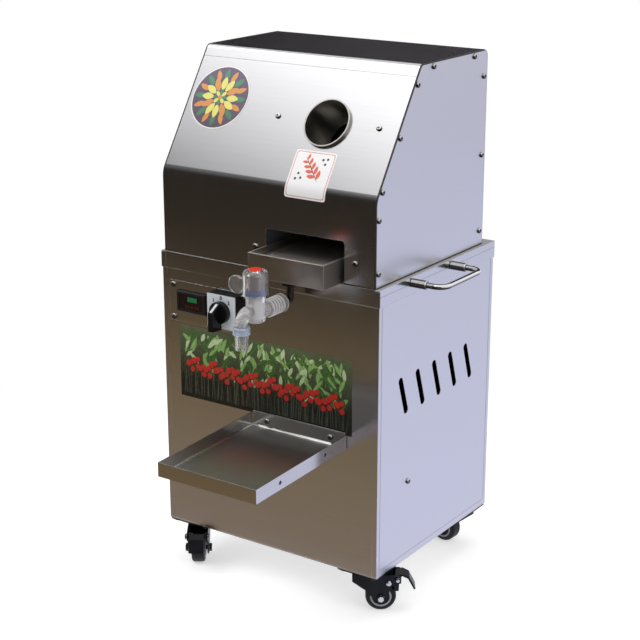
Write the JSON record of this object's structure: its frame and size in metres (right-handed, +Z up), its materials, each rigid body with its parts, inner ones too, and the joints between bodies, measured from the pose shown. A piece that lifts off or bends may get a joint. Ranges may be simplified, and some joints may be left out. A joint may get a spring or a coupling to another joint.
{
  "type": "sugarcane juicer",
  "caption": "Wheeled stainless sugarcane juicer with a hooded roller mill, round feed tube, sliding juice tray with a clear tap, rotary switch, cup tray and braked casters.",
  "frame": {"origin": "on the floor under the middle of the cabinet", "axes": "+Z up, -Y towards the front with the tap, +X to the machine's side with the feed tube"},
  "size_m": [0.5438, 0.6093, 0.8735],
  "materials": {
    "stainless": "fine horizontal brush",
    "mild_steel": "satin grey",
    "roller_steel": "turned",
    "screw_steel": "plated",
    "chrome": "polished",
    "bush_brass": "turned",
    "gearbox_iron": "painted casting",
    "motor_paint": "satin black",
    "battery_case": "moulded",
    "black_plastic": "moulded",
    "meter_window": "smoked",
    "switch_plate": "satin",
    "clear_plastic": "clear",
    "pale_plastic": "translucent",
    "red_plastic": "moulded",
    "blue_seal": "moulded",
    "caster_steel": "black coat",
    "caster_tread": "moulded"
  },
  "bodies": {
    "cabinet": {"front_panel": "stainless", "left_side_panel": "stainless", "right_side_panel": "stainless", "rear_panel": "stainless", "base_plate": "stainless", "corner_posts": "mild_steel", "top_deck": "stainless", "hood_front_sheet": "stainless", "hood_top_sheet": "stainless", "hood_left_panel": "stainless", "hood_right_panel": "stainless", "panel_screws": "screw_steel", "feed_tube": "stainless", "rear_chute": "stainless", "left_frame_plate": "mild_steel", "right_frame_plate": "mild_steel", "frame_spacers": "mild_steel", "roller_bushes": "bush_brass", "scraper_bar": "roller_steel", "worm_gearbox": "gearbox_iron", "drive_motor": "motor_paint", "gearbox_stand": "mild_steel", "batteries": "battery_case", "charge_socket": "black_plastic", "control_plate": "stainless", "meter_case": "black_plastic", "meter_window": "meter_window", "switch_base": "black_plastic", "switch_plate": "switch_plate", "cup_tray": "stainless", "tray_bracket": "stainless", "side_handles": "chrome", "caster_plates": "caster_steel", "caster_bolts": "screw_steel"},
    "knob": {"switch_knob": "black_plastic"},
    "tray": {"juice_tray": "stainless", "drain_nut": "black_plastic", "tap_elbow": "clear_plastic", "tap_body": "clear_plastic", "spout_collar": "pale_plastic", "hose_nozzle": "clear_plastic"},
    "tap_lever": {"tap_head": "clear_plastic", "tap_button": "red_plastic", "tap_seal": "blue_seal"},
    "top_mill": {"top_roller": "roller_steel", "top_gear": "mild_steel"},
    "front_mill": {"front_roller": "roller_steel", "front_gear": "mild_steel"},
    "rear_mill": {"rear_roller": "roller_steel", "rear_gear": "mild_steel"},
    "front_left_swivel": {"front_left_fork": "caster_steel"},
    "front_left_roll": {"front_left_wheel": "caster_tread"},
    "front_left_brake": {"front_left_pedal": "caster_steel"},
    "front_right_swivel": {"front_right_fork": "caster_steel"},
    "front_right_roll": {"front_right_wheel": "caster_tread"},
    "front_right_brake": {"front_right_pedal": "caster_steel"},
    "rear_right_swivel": {"rear_right_fork": "caster_steel"},
    "rear_right_roll": {"rear_right_wheel": "caster_tread"},
    "rear_left_swivel": {"rear_left_fork": "caster_steel"},
    "rear_left_roll": {"rear_left_wheel": "caster_tread"}
  },
  "joints": [
    {"name": "top_roller_spin", "type": "hinge", "parent": "cabinet", "child": "top_mill", "pos_m": [0.074, -0.0014, 0.74252], "axis": [1, 0, 0], "continuous": true},
    {"name": "front_roller_spin", "type": "hinge", "parent": "cabinet", "child": "front_mill", "pos_m": [0.074, -0.0376, 0.68733], "axis": [1, 0, 0], "continuous": true},
    {"name": "rear_roller_spin", "type": "hinge", "parent": "cabinet", "child": "rear_mill", "pos_m": [0.074, 0.04276, 0.69347], "axis": [1, 0, 0], "continuous": true},
    {"name": "juice_tray_slide", "type": "slide", "parent": "cabinet", "child": "tray", "axis": [0, -1, 0], "range_m": [0, 0.2]},
    {"name": "tap_lever_turn", "type": "hinge", "parent": "tray", "child": "tap_lever", "pos_m": [0.064, -0.2926, 0.5493], "axis": [0, 0, 1], "range_deg": [0, 90]},
    {"name": "switch_turn", "type": "hinge", "parent": "cabinet", "child": "knob", "pos_m": [-0.078, -0.1956, 0.4715], "axis": [0, -1, 0], "range_deg": [-45, 45]},
    {"name": "front_left_caster_swivel", "type": "hinge", "parent": "cabinet", "child": "front_left_swivel", "pos_m": [-0.172, -0.1475, 0.0667], "axis": [0, 0, 1], "continuous": true},
    {"name": "front_left_wheel_spin", "type": "hinge", "parent": "front_left_swivel", "child": "front_left_roll", "pos_m": [-0.15914, -0.16657, 0.025], "axis": [0.829, 0.5592, 0], "continuous": true},
    {"name": "front_left_brake_lift", "type": "hinge", "parent": "front_left_swivel", "child": "front_left_brake", "pos_m": [-0.14404, -0.18895, 0.0575], "axis": [-0.829, -0.5592, 0], "range_deg": [0, 15]},
    {"name": "front_right_caster_swivel", "type": "hinge", "parent": "cabinet", "child": "front_right_swivel", "pos_m": [0.172, -0.1475, 0.0667], "axis": [0, 0, 1], "continuous": true},
    {"name": "front_right_wheel_spin", "type": "hinge", "parent": "front_right_swivel", "child": "front_right_roll", "pos_m": [0.19107, -0.13464, 0.025], "axis": [-0.5592, 0.829, 0], "continuous": true},
    {"name": "front_right_brake_lift", "type": "hinge", "parent": "front_right_swivel", "child": "front_right_brake", "pos_m": [0.21345, -0.11954, 0.0575], "axis": [0.5592, -0.829, 0], "range_deg": [0, 15]},
    {"name": "rear_right_caster_swivel", "type": "hinge", "parent": "cabinet", "child": "rear_right_swivel", "pos_m": [0.172, 0.1475, 0.0667], "axis": [0, 0, 1], "continuous": true},
    {"name": "rear_right_wheel_spin", "type": "hinge", "parent": "rear_right_swivel", "child": "rear_right_roll", "pos_m": [0.14909, 0.1495, 0.025], "axis": [-0.0872, -0.9962, 0], "continuous": true},
    {"name": "rear_left_caster_swivel", "type": "hinge", "parent": "cabinet", "child": "rear_left_swivel", "pos_m": [-0.172, 0.1475, 0.0667], "axis": [0, 0, 1], "continuous": true},
    {"name": "rear_left_wheel_spin", "type": "hinge", "parent": "rear_left_swivel", "child": "rear_left_roll", "pos_m": [-0.19361, 0.15537, 0.025], "axis": [-0.342, -0.9397, 0], "continuous": true}
  ],
  "couplings": [
    {"joint": "front_roller_spin", "follows": "top_roller_spin", "ratio": -1},
    {"joint": "rear_roller_spin", "follows": "top_roller_spin", "ratio": -1}
  ]
}
